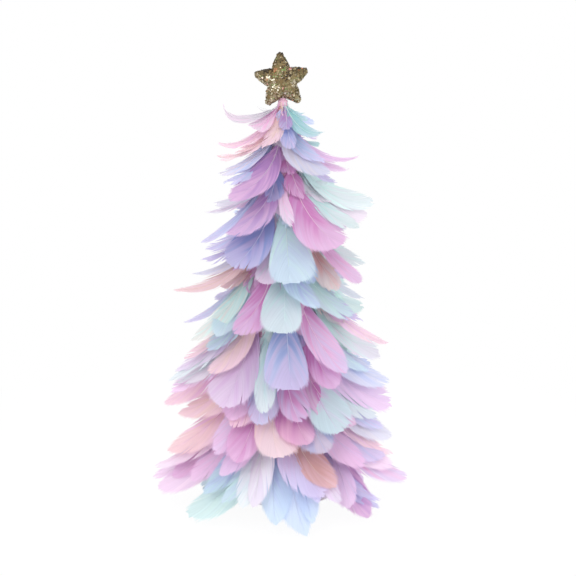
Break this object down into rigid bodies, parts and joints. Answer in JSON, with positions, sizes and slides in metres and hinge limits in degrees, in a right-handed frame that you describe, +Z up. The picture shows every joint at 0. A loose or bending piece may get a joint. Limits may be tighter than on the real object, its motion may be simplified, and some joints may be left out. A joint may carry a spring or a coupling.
{
  "type": "feather christmas tree",
  "caption": "Table-top ornament: a foam cone ringed by rows of curled pastel feathers, with a glitter star on a stick that lifts out and turns.",
  "frame": {"origin": "middle of the base board's underside, on the surface that the tree stands on", "axes": "+Z up along the tree's axis; the star's front, which the picture shows, looks along -Y; +X to the right in that view"},
  "size_m": [0.2287, 0.2305, 0.4],
  "materials": {
    "board": "matte",
    "foam": "matte",
    "neck_wrap": "matte",
    "stick": "matte",
    "glitter": "gloss",
    "feather_pink": "matte",
    "feather_mint": "matte",
    "feather_blue": "matte",
    "feather_lilac": "matte",
    "feather_peach": "matte",
    "feather_white": "matte"
  },
  "bodies": {
    "tree": {"base_board": "board", "foam_cone": "foam", "wrapped_neck": "neck_wrap", "feather_row_01": "feather_pink", "feather_row_02": "feather_mint", "feather_row_03": "feather_blue", "feather_row_04": "feather_lilac", "feather_row_05": "feather_peach", "feather_row_06": "feather_blue", "feather_row_07": "feather_pink", "feather_row_08": "feather_white", "feather_row_09": "feather_mint", "feather_row_10": "feather_lilac", "feather_row_11": "feather_pink", "feather_row_12": "feather_mint", "feather_row_13": "feather_blue", "feather_row_14": "feather_lilac", "feather_row_15": "feather_peach", "feather_row_16": "feather_blue", "feather_row_17": "feather_pink", "feather_row_18": "feather_white", "feather_row_19": "feather_mint", "feather_row_20": "feather_lilac", "feather_row_21": "feather_pink", "crown_row_1": "feather_mint", "crown_row_2": "feather_blue"},
    "stick": {"star_stick": "stick"},
    "star": {"glitter_star": "glitter"}
  },
  "joints": [
    {"name": "star_lift", "type": "slide", "parent": "tree", "child": "stick", "axis": [0, 0, 1], "range_m": [0, 0.035]},
    {"name": "star_turn", "type": "hinge", "parent": "stick", "child": "star", "pos_m": [0, 0, 0.376], "axis": [0, 0, 1], "continuous": true}
  ]
}
